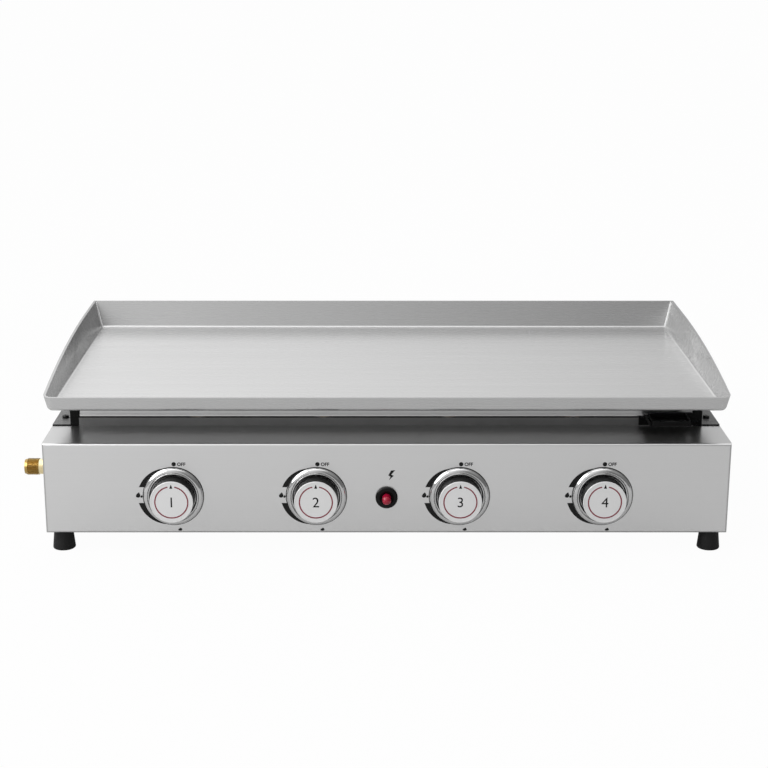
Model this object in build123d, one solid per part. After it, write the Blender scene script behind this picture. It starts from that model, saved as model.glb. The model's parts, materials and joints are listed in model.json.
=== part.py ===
from build123d import *
import math
import os

# Four-burner table-top gas griddle, in millimetres.
# X runs across the front, +Y to the back, +Z up. While modelling, the front face is y = 0.

# Casing of folded stainless sheet
BODY_WIDTH = 800.0
BODY_DEPTH = 400.0
BODY_HEIGHT = 110.0
SHEET = 1.0
SHEET_BEND = 3.0
CONSOLE_DEPTH = 71.0
CONSOLE_RETURN = 36.0
SIDE_FLANGE = 21.5
REAR_FLANGE = 20.0
BAFFLE_RISE = 10.3
FIT = 0.2

# Ventilation slots
VENT_LENGTH = 44.0
VENT_HEIGHT = 7.0
VENT_PITCH = 66.0
REAR_VENT_COUNT = 10
BASE_VENT_COUNT = 8
BASE_VENT_ROWS = 3
BASE_VENT_ROW_PITCH = 90.0

# Rubber feet and screws
FOOT_HEIGHT = 25.0
FOOT_TOP_R = 11.0
FOOT_BOTTOM_R = 13.5
FOOT_EDGE = 1.5
FOOT_INSET = 17.0
FOOT_SETBACK = 20.0
SCREW_R = 2.5
SCREW_HEAD_R = 4.0
SCREW_HEAD_HEIGHT = 3.4
SCREW_HEAD_EDGE = 1.2
FOOT_SCREW_LENGTH = 16.0
RAIL_SCREW_LENGTH = 8.0
SCREW_GAP = 0.15

# Support rails between the casing and the plate
RAIL_SHEET = 1.5
RAIL_HEIGHT = 38.5
RAIL_RETURN = 10.5
RAIL_SCREW_INSET = 11.0
RAIL_SCREW_SETBACK = 27.0
RAIL_SCREW_COUNT = 3

# Griddle plate
FLOOR_INSET = 11.0
FLOOR_SETBACK = 4.0
FLOOR_REAR_INSET = 0.5
PLATE_SHEET = 3.0
PLATE_BEND = 6.0
PLATE_CORNER_R = 6.5
WALL_LEAN = 14.4
WALL_HEIGHT = 34.5
LIP_HEIGHT = 14.5
RIM_LEVEL_LENGTH = 70.0
PLATE_GAP = 0.2
PEG_R = 3.0
PEG_LENGTH = 10.0
PEG_SETBACK = 110.0
PEG_GAP = 0.4

# Stiffeners under the plate
STIFFENER_SHEET = 1.5
STIFFENER_DROP = 27.0
STIFFENER_HEM = 2.0
STIFFENER_FLANGE = 20.0
STIFFENER_GAP = 1.0

# Grease tray, its shelf and the drain above it
TRAY_INSET = 35.3
TRAY_BACKSET = 47.0
TRAY_WIDTH = 45.0
TRAY_DEPTH = 32.0
TRAY_HEIGHT = 6.2
TRAY_WALL = 1.2
TRAY_CORNER_R = 3.0
TRAY_LIFT = 14.3
TRAY_GRIP_WIDTH = 24.0
TRAY_GRIP = 4.0
SHELF_SHEET = 1.5
SHELF_BACKSET = 43.0
SHELF_LIP = 4.0
SHELF_SLACK = 0.5
SHELF_GAP = 0.2
SHELF_REACH = 30.2
SHELF_RISE = 1.4
SHELF_BACK_HEIGHT = 10.3
SHELF_WING_RISE = 4.3
DRAIN_R = 7.0
DRAIN_COLLAR = 2.0
DRAIN_DEPTH = 3.0
DRAIN_BACKSET = 33.0

# Knobs and bezels
KNOB_COUNT = 4
KNOB_PITCH = 167.0
KNOB_SHIFT = 1.5
KNOB_HEIGHT = 46.0
KNOB_REACH = 22.0
KNOB_R = 25.6
KNOB_CLEAR = 2.4
KNOB_WALL = 2.2
KNOB_EDGE = 1.0
HUB_R = 7.5
HUB_OVERHANG = 1.0
CAP_R = 25.1
CAP_THICKNESS = 1.6
CAP_RIM = 1.4
CAP_RECESS = 0.2
CAP_EDGE = 0.7
CAP_SPIGOT_R = 5.0
CAP_SPIGOT_LENGTH = 1.2
BEZEL_R = 35.1
BEZEL_BORE_R = 26.8
BEZEL_HEIGHT = 5.0
BEZEL_DISH = 1.5
BEZEL_ROLL = 4.7
BEZEL_SLOPE = 0.8
BEZEL_LIP = 0.8
PUSH_TRAVEL = 3.5

# Gas taps
STEM_R = 4.0
STEM_FLAT = 1.2
STEM_INSERT = 10.0
STEM_HOLE_R = 6.0
STEM_COLLAR_R = 6.3
STEM_COLLAR = 1.7
STEM_REST_GAP = 0.3
TANG_WIDTH = 7.0
TANG_THICKNESS = 2.4
TANG_ENTRY = 5.0
TANG_GAP = 0.2
RUNNING_FIT = 0.08
TAP_SETBACK = 12.0
TAP_COVER = 3.0
TAP_COVER_R = 14.0
TAP_R = 11.0
TAP_NOSE = 4.0
TAP_BOSS_R = 6.5
TAP_SPRING_PRESSED = 6.5
CHAMBER_R = 7.0
ROTOR_LENGTH = 18.0
ROTOR_TAPER = 1.0
ROTOR_SLOT_SPARE = 1.0
GAS_WAY_R = 2.0
GAS_WAY_INSET = 4.5
TAP_SPRING_R = 5.2
TAP_SPRING_WIRE_R = 0.5
TAP_SPRING_TURNS = 4
SPRING_END_GAP = 0.15

# Manifold, inlet and jets
MANIFOLD_R = 8.0
MANIFOLD_WALL = 1.4
MANIFOLD_RISE = 23.0
MANIFOLD_OVERHANG = 22.0
CLIP_WIDTH = 12.0
CLIP_SHEET = 1.5
CLIP_FOOT = 9.0
INLET_THREAD_R = 10.0
INLET_THREAD_LENGTH = 14.0
INLET_CHAMFER = 3.0
INLET_BORE_R = 5.0
INLET_NECK_R = 9.0
INLET_NECK_LENGTH = 11.3
INLET_SHANK_R = 8.0
INLET_NUT_THICKNESS = 8.0
INLET_NUT_FLATS = 24.0
INLET_SPIGOT_LENGTH = 15.0
JET_FLATS = 10.0
JET_HEX = 4.0
JET_NOSE_R = 3.0
JET_NOSE_LENGTH = 9.0
JET_ORIFICE_R = 0.6

# Burners
BURNER_R = 13.0
BURNER_WALL = 1.0
BURNER_MOUTH_R = 15.5
BURNER_MOUTH_LENGTH = 8.0
BURNER_REAR_GAP = 34.0
BURNER_SPIGOT_R = 5.0
BURNER_SPIGOT_LENGTH = 12.0
BURNER_HOLE_GAP = 0.3
JET_ENTRY = 3.0
PORT_WIDTH = 1.6
PORT_ANGLE = 42.0
PORT_START = 40.0
PORT_END = 26.0
PORT_COUNT = 20
PORT_DEPTH = 3.0
BRACKET_SHEET = 1.5
BRACKET_RISE = 14.0
BRACKET_FLANGE = 14.0
BRACKET_OVERHANG = 40.0
CARRY_WIDTH = 16.0
CARRY_HEIGHT = 8.0
CARRY_SHEET = 1.0
CARRY_SETBACK = 130.0
CARRY_OVERHANG = 20.0

# Push-button igniter, electrode and lead
IGNITER_HEIGHT = 44.6
IGNITER_FLANGE_R = 12.9
IGNITER_FLANGE = 3.5
IGNITER_R = 9.0
IGNITER_LENGTH = 40.0
IGNITER_DISH_R = 8.5
IGNITER_DISH_DEPTH = 2.0
IGNITER_NUT_FLATS = 24.0
IGNITER_NUT = 5.0
BUTTON_R = 5.0
BUTTON_REACH = 16.0
BUTTON_DOME = 3.6
BUTTON_LENGTH = 29.0
BUTTON_TRAVEL = 6.0
BUTTON_FOOT_R = 6.8
BUTTON_FOOT = 2.0
BUTTON_SPRING_PRESSED = 8.0
BUTTON_SPRING_R = 4.6
BUTTON_SPRING_WIRE_R = 0.5
BUTTON_SPRING_TURNS = 4
TERMINAL_R = 2.0
TERMINAL_LENGTH = 4.0
ELECTRODE_X = 62.0
ELECTRODE_R = 3.0
ELECTRODE_LENGTH = 56.0
ELECTRODE_FRONT = 10.0
ELECTRODE_TIP_R = 0.9
ELECTRODE_TIP_LENGTH = 12.0
LEAD_R = 1.3
LEAD_BEND = 4.0

# Stations worked out from the sizes above
HALF_WIDTH = BODY_WIDTH / 2
BODY_BOTTOM = FOOT_HEIGHT
BODY_TOP = BODY_BOTTOM + BODY_HEIGHT
BASE_TOP = BODY_BOTTOM + 2 * SHEET
RAIL_TOP = BODY_TOP + RAIL_HEIGHT
RAIL_WEB_X = HALF_WIDTH - SIDE_FLANGE
RAIL_INNER_X = RAIL_WEB_X - RAIL_RETURN
TRAY_X = RAIL_INNER_X - TRAY_INSET
RAIL_FRONT = CONSOLE_DEPTH + SHEET
PLATE_UNDER = RAIL_TOP + PLATE_GAP
FLOOR_TOP = PLATE_UNDER + PLATE_SHEET
RIM_TOP = FLOOR_TOP + WALL_HEIGHT
LIP_TOP = FLOOR_TOP + LIP_HEIGHT
FLOOR_WIDTH = BODY_WIDTH - 2 * FLOOR_INSET
FLOOR_REAR = BODY_DEPTH - FLOOR_REAR_INSET
WALL_SLOPE = math.tan(math.radians(WALL_LEAN))
WALL_RUN = PLATE_SHEET / math.cos(math.radians(WALL_LEAN))
PLATE_REAR = FLOOR_REAR + WALL_RUN + WALL_HEIGHT * WALL_SLOPE
PLATE_HALF_WIDTH = FLOOR_WIDTH / 2 + WALL_RUN + WALL_HEIGHT * WALL_SLOPE
TRAY_BOTTOM = BODY_TOP + TRAY_LIFT
TRAY_TOP = TRAY_BOTTOM + TRAY_HEIGHT
TRAY_FRONT = CONSOLE_DEPTH - TRAY_BACKSET
TRAY_REAR = TRAY_FRONT + TRAY_DEPTH
SHELF_FRONT = CONSOLE_DEPTH - SHELF_BACKSET
DRAIN_Y = CONSOLE_DEPTH - DRAIN_BACKSET
KNOB_Z = BODY_BOTTOM + KNOB_HEIGHT
IGNITER_Z = BODY_BOTTOM + IGNITER_HEIGHT
KNOB_XS = [KNOB_SHIFT + KNOB_PITCH * (i - (KNOB_COUNT - 1) / 2) for i in range(KNOB_COUNT)]
KNOB_FACE = CAP_THICKNESS - KNOB_REACH
KNOB_REAR = -PUSH_TRAVEL - KNOB_CLEAR
HUB_REAR = KNOB_REAR + HUB_OVERHANG
STEM_FRONT = HUB_REAR - STEM_INSERT
CHAMBER_FRONT = TAP_SETBACK + TAP_COVER
COLLAR_FRONT = CHAMBER_FRONT + STEM_REST_GAP
COLLAR_REAR = COLLAR_FRONT + STEM_COLLAR
ROTOR_FRONT = COLLAR_REAR + TAP_SPRING_PRESSED + PUSH_TRAVEL
ROTOR_REAR = ROTOR_FRONT + ROTOR_LENGTH
ROTOR_SLOT_REAR = ROTOR_FRONT + TANG_ENTRY + PUSH_TRAVEL + ROTOR_SLOT_SPARE
TAP_REAR = ROTOR_REAR + TAP_NOSE
MANIFOLD_SETBACK = ROTOR_REAR - GAS_WAY_INSET
MANIFOLD_Z = KNOB_Z + MANIFOLD_RISE
JET_TIP = TAP_REAR + JET_HEX + JET_NOSE_LENGTH
BURNER_FRONT = JET_TIP - JET_ENTRY
BURNER_REAR = BODY_DEPTH - BURNER_REAR_GAP
BRACKET_FRONT = BURNER_REAR + BURNER_SPIGOT_LENGTH / 2
INLET_INNER_X = -HALF_WIDTH + SHEET + INLET_NUT_THICKNESS
INLET_THREAD_X = -HALF_WIDTH - INLET_NECK_LENGTH
INLET_TIP_X = INLET_THREAD_X - INLET_THREAD_LENGTH - INLET_CHAMFER
BUTTON_REAR = BUTTON_LENGTH - BUTTON_REACH
IGNITER_BORE_REAR = BUTTON_REAR + BUTTON_SPRING_PRESSED + BUTTON_TRAVEL
IGNITER_TIP = IGNITER_LENGTH + TERMINAL_LENGTH
ELECTRODE_REAR = RAIL_FRONT - ELECTRODE_FRONT

# The origin goes to the middle of the outer box, on the ground
CENTRE_X = (max(HALF_WIDTH, PLATE_HALF_WIDTH) + INLET_TIP_X) / 2
CENTRE_Y = (PLATE_REAR - KNOB_REACH) / 2


def block(x_span, y_span, z_span):
    """Box between the two ends of each span."""
    spans = (x_span, y_span, z_span)
    middle = [sum(span) / 2 for span in spans]
    return Pos(*middle) * Box(*[span[1] - span[0] for span in spans])


def rod_x(radius, x_span, y, z):
    """Round bar along X."""
    return Pos(sum(x_span) / 2, y, z) * Rot(0, 90, 0) * Cylinder(radius, x_span[1] - x_span[0])


def rod_y(radius, y_span, x=0.0, z=0.0):
    """Round bar along Y."""
    return Pos(x, sum(y_span) / 2, z) * Rot(90, 0, 0) * Cylinder(radius, y_span[1] - y_span[0])


def rod_z(radius, z_span, x, y):
    """Round bar along Z."""
    return Pos(x, y, sum(z_span) / 2) * Cylinder(radius, z_span[1] - z_span[0])


def hex_bar_y(flats, y_span):
    """Hexagonal bar along Y, by its width across flats."""
    outline = Plane.XZ * RegularPolygon(flats / 2, 6, major_radius=False)
    return Pos(0, y_span[0], 0) * extrude(outline, -(y_span[1] - y_span[0]))


def turned(*points):
    """Solid turned about the Y axis from (radius, station) points."""
    return revolve(make_face(Polyline(*points, close=True)), Axis.Y)


def angle_section(points, y_span):
    """Folded strip along Y from its (x, z) outline."""
    outline = make_face(Plane.XZ * Polyline(*points, close=True))
    return Pos(0, y_span[0], 0) * extrude(outline, -(y_span[1] - y_span[0]))


def coil_spring(radius, wire_r, y_span, turns):
    """Helical spring about the Y axis, with a quarter-turn arc to each step."""
    steps = 4 * turns
    length = y_span[1] - y_span[0] - 2 * wire_r

    def place(step):
        turn = step / steps * turns * 2 * math.pi
        return (radius * math.cos(turn), y_span[0] + wire_r + length * step / steps, radius * math.sin(turn))

    arcs = [ThreePointArc(place(k), place(k + 0.5), place(k + 1)) for k in range(steps)]
    path = Wire(arcs)
    start = Plane(origin=path @ 0, z_dir=path % 0)
    return sweep(start * Circle(wire_r), path=path)


def group(solids):
    """Several separate solids that share one node."""
    return Compound(children=list(solids))


def foot_places():
    x = HALF_WIDTH - FOOT_INSET
    return [(side * x, y) for side in (-1, 1) for y in (FOOT_SETBACK, BODY_DEPTH - FOOT_SETBACK)]


def foot_screw_holes():
    span = (0, BASE_TOP + SCREW_HEAD_HEIGHT)
    return [rod_z(SCREW_R + SCREW_GAP, span, x, y) for x, y in foot_places()]


def rail_screw_places():
    first = RAIL_FRONT + RAIL_SCREW_SETBACK
    last = BODY_DEPTH - RAIL_SCREW_SETBACK
    x = HALF_WIDTH - RAIL_SCREW_INSET
    step = (last - first) / (RAIL_SCREW_COUNT - 1)
    return [(side * x, first + step * k) for side in (-1, 1) for k in range(RAIL_SCREW_COUNT)]


def rail_screw_holes():
    span = (BODY_TOP - RAIL_SCREW_LENGTH, BODY_TOP + RAIL_SCREW_LENGTH)
    return [rod_z(SCREW_R + SCREW_GAP, span, x, y) for x, y in rail_screw_places()]


def peg_places():
    x = RAIL_WEB_X - RAIL_RETURN / 2
    return [(side * x, y) for side in (-1, 1) for y in (PEG_SETBACK, BODY_DEPTH - PEG_SETBACK)]


# Casing

def front_panel():
    """Control panel: front face, deep top flange, end cheeks and a return underneath."""
    outer = block((-HALF_WIDTH, HALF_WIDTH), (0, CONSOLE_DEPTH), (BODY_BOTTOM, BODY_TOP))
    outer = fillet(outer.edges().group_by(Axis.Y)[0], SHEET_BEND)
    inner_x = HALF_WIDTH - SHEET
    behind = CONSOLE_DEPTH + SHEET
    inner = block((-inner_x, inner_x), (SHEET, behind), (BODY_BOTTOM + SHEET, BODY_TOP - SHEET))
    inner = fillet(inner.edges().group_by(Axis.Y)[0], SHEET_BEND - SHEET)
    opening = block((-inner_x, inner_x), (CONSOLE_RETURN, behind), (BODY_BOTTOM - SHEET, BASE_TOP))
    panel = outer - inner - opening
    through = (-SHEET, 2 * SHEET)
    panel -= [rod_y(STEM_HOLE_R, through, x, KNOB_Z) for x in KNOB_XS]
    panel -= rod_y(IGNITER_R + FIT, through, 0, IGNITER_Z)
    cheek = (-HALF_WIDTH - SHEET, -HALF_WIDTH + 2 * SHEET)
    panel -= rod_x(INLET_SHANK_R + FIT, cheek, MANIFOLD_SETBACK, MANIFOLD_Z)
    return panel - foot_screw_holes()


def left_side_panel():
    outer, inner, edge = -HALF_WIDTH, -HALF_WIDTH + SHEET, -HALF_WIDTH + SIDE_FLANGE
    outline = [
        (edge, BODY_TOP), (outer, BODY_TOP), (outer, BODY_BOTTOM), (edge, BODY_BOTTOM),
        (edge, BODY_BOTTOM + SHEET), (inner, BODY_BOTTOM + SHEET),
        (inner, BODY_TOP - SHEET), (edge, BODY_TOP - SHEET),
    ]
    panel = angle_section(outline, (CONSOLE_DEPTH, BODY_DEPTH - SHEET))
    return panel - foot_screw_holes() - rail_screw_holes()


def rear_panel():
    face = block((-HALF_WIDTH, HALF_WIDTH), (BODY_DEPTH - SHEET, BODY_DEPTH), (BODY_BOTTOM, BODY_TOP))
    flange_x = HALF_WIDTH - SIDE_FLANGE - FIT
    flange_y = (BODY_DEPTH - REAR_FLANGE, BODY_DEPTH)
    panel = face
    for z in (BODY_BOTTOM, BODY_TOP - SHEET):
        panel += block((-flange_x, flange_x), flange_y, (z, z + SHEET))
    slot = extrude(Plane.XZ * SlotOverall(VENT_LENGTH, VENT_HEIGHT), SHEET, both=True)
    row = Locations((0, BODY_DEPTH, BODY_BOTTOM + BODY_HEIGHT / 2))
    places = row.locations[0] * GridLocations(VENT_PITCH, 1, REAR_VENT_COUNT, 1)
    return panel - [place * slot for place in places]


def base_panel():
    x = HALF_WIDTH - SHEET - FIT
    z = (BODY_BOTTOM + SHEET, BASE_TOP)
    sheet = block((-x, x), (SHEET + SHEET_BEND, BODY_DEPTH - SHEET - FIT), z)
    slot = extrude(SlotOverall(VENT_LENGTH, VENT_HEIGHT), 2 * SHEET, both=True)
    middle = Pos(0, (CONSOLE_DEPTH + BODY_DEPTH) / 2, BASE_TOP)
    places = middle * GridLocations(VENT_PITCH, BASE_VENT_ROW_PITCH, BASE_VENT_COUNT, BASE_VENT_ROWS)
    return sheet - [place * slot for place in places] - foot_screw_holes()


def front_baffle():
    """Fire wall behind the control panel, with a hole for each burner and one for the electrode."""
    y = (CONSOLE_DEPTH, RAIL_FRONT)
    wide = HALF_WIDTH - SHEET - FIT
    narrow = RAIL_INNER_X - FIT
    wall = block((-wide, wide), y, (BASE_TOP, BODY_TOP - SHEET - FIT))
    wall += block((-narrow, narrow), y, (BASE_TOP, BODY_TOP + BAFFLE_RISE))
    through = (CONSOLE_DEPTH - SHEET, RAIL_FRONT + SHEET)
    wall -= [rod_y(BURNER_R + BURNER_HOLE_GAP, through, x, KNOB_Z) for x in KNOB_XS]
    return wall - rod_y(ELECTRODE_R + FIT, through, ELECTRODE_X, IGNITER_Z)


def rubber_foot():
    outline = [
        (0, 0), (FOOT_BOTTOM_R, 0), (FOOT_TOP_R, FOOT_HEIGHT), (0, FOOT_HEIGHT),
    ]
    foot = Rot(90, 0, 0) * turned(*outline)
    foot = fillet(foot.edges().group_by(Axis.Z)[0], FOOT_EDGE)
    hole = rod_z(SCREW_R + SCREW_GAP, (BASE_TOP - FOOT_SCREW_LENGTH - SCREW_GAP, BASE_TOP), 0, 0)
    return foot - hole


def pan_screw(length):
    """Pan-head screw hanging down from its seat at z = 0."""
    head = rod_z(SCREW_HEAD_R, (0, SCREW_HEAD_HEIGHT), 0, 0)
    head = fillet(head.edges().group_by(Axis.Z)[-1], SCREW_HEAD_EDGE)
    return head + rod_z(SCREW_R, (-length, 0), 0, 0)


# Support rails

def left_support_rail():
    """Black Z-shaped rail: foot on the casing's side flange, web, and a ledge for the plate."""
    outer, web, edge = -HALF_WIDTH, -RAIL_WEB_X, -RAIL_INNER_X
    inner = web + RAIL_SHEET
    outline = [
        (outer, BODY_TOP), (inner, BODY_TOP), (inner, RAIL_TOP - RAIL_SHEET), (edge, RAIL_TOP - RAIL_SHEET),
        (edge, RAIL_TOP), (web, RAIL_TOP), (web, BODY_TOP + RAIL_SHEET), (outer, BODY_TOP + RAIL_SHEET),
    ]
    rail = angle_section(outline, (RAIL_FRONT, BODY_DEPTH))
    rail += block((web, edge), (RAIL_FRONT, RAIL_FRONT + RAIL_SHEET), (BODY_TOP, RAIL_TOP))
    rail -= rail_screw_holes()
    ledge = (RAIL_TOP - 2 * RAIL_SHEET, RAIL_TOP + RAIL_SHEET)
    return rail - [rod_z(PEG_R + PEG_GAP, ledge, x, y) for x, y in peg_places()]


# Griddle plate and what is fixed under it

def leaning_block(width, front, rear, z, height, corner_r, bend):
    """Block whose walls lean outward, with rounded front corners and a rounded bottom edge."""
    depth = rear - front
    outline = Rectangle(width, depth)
    outline = fillet(outline.vertices().group_by(Axis.Y)[0], corner_r)
    solid = extrude(Pos(0, (front + rear) / 2, z) * outline, height, taper=-WALL_LEAN)
    return fillet(solid.faces().sort_by(Axis.Z)[0].edges(), bend)


def griddle_plate():
    """Cooking plate: folded pan with leaning walls, a low front lip and curved side rims."""
    height = WALL_HEIGHT + PLATE_SHEET
    step = WALL_RUN - PLATE_SHEET * WALL_SLOPE
    outer = leaning_block(
        FLOOR_WIDTH + 2 * step, FLOOR_SETBACK - step, FLOOR_REAR + step, PLATE_UNDER, height,
        PLATE_CORNER_R, PLATE_BEND,
    )
    inner = leaning_block(
        FLOOR_WIDTH, FLOOR_SETBACK, FLOOR_REAR, FLOOR_TOP, height,
        PLATE_CORNER_R - PLATE_SHEET, PLATE_BEND - PLATE_SHEET,
    )
    collar = rod_z(DRAIN_R + DRAIN_COLLAR, (PLATE_UNDER - DRAIN_DEPTH, FLOOR_TOP), TRAY_X, DRAIN_Y)
    drain = rod_z(DRAIN_R, (PLATE_UNDER - height, RIM_TOP), TRAY_X, DRAIN_Y)
    return outer - inner - above_rim() + collar - drain


def above_rim():
    """Space over the rim: level at the back, then an arc down to the front lip."""
    front = FLOOR_SETBACK - LIP_HEIGHT * WALL_SLOPE - WALL_RUN
    level = PLATE_REAR - RIM_LEVEL_LENGTH
    far = PLATE_REAR + WALL_HEIGHT
    near = front - WALL_HEIGHT
    sky = RIM_TOP + WALL_HEIGHT
    rim = TangentArc((level, RIM_TOP), (front, LIP_TOP), tangent=(-1, 0))
    rest = Polyline(
        (front, LIP_TOP), (near, LIP_TOP), (near, sky), (far, sky), (far, RIM_TOP), (level, RIM_TOP)
    )
    outline = make_face(Plane.YZ * (rim + rest))
    return extrude(outline, PLATE_HALF_WIDTH + WALL_HEIGHT, both=True)


def front_stiffener():
    """Angle under the plate's front, behind the rails' returns, with a folded hem below."""
    x = RAIL_INNER_X - STIFFENER_GAP
    front = RAIL_FRONT + RAIL_SHEET + STIFFENER_GAP
    web = block((-x, x), (front, front + STIFFENER_SHEET), (PLATE_UNDER - STIFFENER_DROP, PLATE_UNDER))
    flange = block((-x, x), (front, front + STIFFENER_FLANGE), (PLATE_UNDER - STIFFENER_SHEET, PLATE_UNDER))
    low = PLATE_UNDER - STIFFENER_DROP
    hem = block((-x, x), (front - STIFFENER_SHEET, front), (low, low + STIFFENER_HEM))
    return web + flange + hem


def rear_stiffener():
    x = RAIL_INNER_X - STIFFENER_GAP
    rear = BODY_DEPTH - REAR_FLANGE
    web = block((-x, x), (rear - STIFFENER_SHEET, rear), (PLATE_UNDER - STIFFENER_DROP, PLATE_UNDER))
    flange = block((-x, x), (rear - STIFFENER_FLANGE, rear), (PLATE_UNDER - STIFFENER_SHEET, PLATE_UNDER))
    return web + flange


def locating_peg(x, y):
    peg = rod_z(PEG_R, (PLATE_UNDER - PEG_LENGTH, PLATE_UNDER), x, y)
    return chamfer(peg.edges().group_by(Axis.Z)[0], PEG_R / 2)


def grease_tray():
    """Shallow drip tray with a finger grip at the front."""
    half = TRAY_WIDTH / 2
    grip_half = TRAY_GRIP_WIDTH / 2
    body = block((-half, half), (TRAY_FRONT, TRAY_REAR), (TRAY_BOTTOM, TRAY_TOP))
    body = fillet(body.edges().filter_by(Axis.Z), TRAY_CORNER_R)
    grip_y = (TRAY_FRONT - TRAY_GRIP, TRAY_FRONT + TRAY_WALL)
    body += block((-grip_half, grip_half), grip_y, (TRAY_TOP - TRAY_WALL, TRAY_TOP))
    inner_x = half - TRAY_WALL
    inner_y = (TRAY_FRONT + TRAY_WALL, TRAY_REAR - TRAY_WALL)
    inner = block((-inner_x, inner_x), inner_y, (TRAY_BOTTOM + TRAY_WALL, PLATE_UNDER))
    inner = fillet(inner.edges().filter_by(Axis.Z), TRAY_CORNER_R - TRAY_WALL)
    return Pos(TRAY_X, 0, 0) * (body - inner)


def tray_shelf():
    """Shelf for the tray, with turned-up sides and a back plate on the baffle, taller at the rail."""
    top = TRAY_BOTTOM - SHELF_GAP
    bottom = top - SHELF_SHEET
    inner = TRAY_WIDTH / 2 + SHELF_SLACK
    outer = inner + SHELF_SHEET
    shelf = block((-outer, outer), (SHELF_FRONT, CONSOLE_DEPTH), (bottom, top))
    for side in ((-outer, -inner), (inner, outer)):
        shelf += block(side, (SHELF_FRONT, TRAY_REAR), (bottom, top + SHELF_LIP))
    back_y = (CONSOLE_DEPTH - SHELF_SHEET, CONSOLE_DEPTH)
    back_z = BODY_TOP + SHELF_RISE
    shelf += block((-outer, outer), back_y, (back_z, top))
    right = RAIL_INNER_X - FIT - TRAY_X
    back_top = back_z + SHELF_BACK_HEIGHT
    shelf += block((-SHELF_REACH, right), back_y, (back_z, back_top))
    shelf += block((TRAY_WIDTH / 4, right), back_y, (back_z, back_top + SHELF_WING_RISE))
    return Pos(TRAY_X, 0, 0) * shelf


# Gas train

def manifold():
    end = KNOB_XS[-1] + MANIFOLD_OVERHANG
    tube = rod_x(MANIFOLD_R, (INLET_INNER_X, end), MANIFOLD_SETBACK, MANIFOLD_Z)
    bore = rod_x(
        MANIFOLD_R - MANIFOLD_WALL, (INLET_INNER_X - SHEET, end - MANIFOLD_WALL), MANIFOLD_SETBACK, MANIFOLD_Z
    )
    ways = [rod_z(GAS_WAY_R, (KNOB_Z, MANIFOLD_Z), x, MANIFOLD_SETBACK) for x in KNOB_XS]
    return tube - bore - ways


def manifold_clip(x):
    """Clip that holds the manifold to the baffle."""
    span = (x - CLIP_WIDTH / 2, x + CLIP_WIDTH / 2)
    ring_r = MANIFOLD_R + SCREW_GAP
    ring = rod_x(ring_r + CLIP_SHEET, span, MANIFOLD_SETBACK, MANIFOLD_Z)
    half = CLIP_SHEET / 2
    strap = block(span, (MANIFOLD_SETBACK, CONSOLE_DEPTH), (MANIFOLD_Z - half, MANIFOLD_Z + half))
    foot_y = (CONSOLE_DEPTH - CLIP_SHEET, CONSOLE_DEPTH)
    foot = block(span, foot_y, (MANIFOLD_Z - CLIP_FOOT, MANIFOLD_Z + CLIP_FOOT))
    return ring + strap + foot - rod_x(ring_r, span, MANIFOLD_SETBACK, MANIFOLD_Z)


def inlet_fitting():
    """Brass hose connection: threaded end and neck outside, shank and spigot inside."""
    spigot_r = MANIFOLD_R - MANIFOLD_WALL - SCREW_GAP
    spigot_end = INLET_INNER_X + INLET_SPIGOT_LENGTH
    tip_r = INLET_THREAD_R - INLET_CHAMFER / 2
    outline = [
        (INLET_BORE_R, INLET_TIP_X), (tip_r, INLET_TIP_X),
        (INLET_THREAD_R, INLET_TIP_X + INLET_CHAMFER), (INLET_THREAD_R, INLET_THREAD_X),
        (INLET_NECK_R, INLET_THREAD_X), (INLET_NECK_R, -HALF_WIDTH),
        (INLET_SHANK_R, -HALF_WIDTH), (INLET_SHANK_R, INLET_INNER_X), (spigot_r, INLET_INNER_X),
        (spigot_r, spigot_end), (INLET_BORE_R, spigot_end),
    ]
    return inlet_pose() * turned(*outline)


def inlet_nut():
    nut = hex_bar_y(INLET_NUT_FLATS, (-HALF_WIDTH + SHEET, INLET_INNER_X))
    return inlet_pose() * (nut - rod_y(INLET_SHANK_R + SCREW_GAP, (INLET_TIP_X, 0)))


def inlet_pose():
    """Turns a piece made along Y so that it lies along X on the manifold's axis."""
    return Pos(0, MANIFOLD_SETBACK, MANIFOLD_Z) * Rot(0, 0, -90)


def gas_jet():
    jet = hex_bar_y(JET_FLATS, (TAP_REAR, TAP_REAR + JET_HEX))
    jet += rod_y(JET_NOSE_R, (TAP_REAR, JET_TIP))
    return jet - rod_y(JET_ORIFICE_R, (TAP_REAR - JET_HEX, JET_TIP + JET_HEX))


def tap_body():
    """Gas tap body with its cover, spring space, tapered seat and the boss up to the manifold."""
    body = rod_y(TAP_COVER_R, (TAP_SETBACK, CHAMBER_FRONT)) + rod_y(TAP_R, (TAP_SETBACK, TAP_REAR))
    body += rod_z(TAP_BOSS_R, (0, MANIFOLD_RISE), 0, MANIFOLD_SETBACK)
    body -= rod_x(MANIFOLD_R + SCREW_GAP, (-TAP_R, TAP_R), MANIFOLD_SETBACK, MANIFOLD_RISE)
    guide_r = STEM_R + RUNNING_FIT
    seat_r = CHAMBER_R - ROTOR_TAPER
    behind = TAP_REAR + TAP_NOSE
    cavity = turned(
        (0, 0), (guide_r, 0), (guide_r, CHAMBER_FRONT), (CHAMBER_R, CHAMBER_FRONT), (CHAMBER_R, ROTOR_FRONT),
        (seat_r, ROTOR_REAR), (GAS_WAY_R, ROTOR_REAR), (GAS_WAY_R, behind), (0, behind),
    )
    return body - cavity - rod_z(GAS_WAY_R, (0, MANIFOLD_RISE), 0, MANIFOLD_SETBACK)


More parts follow.
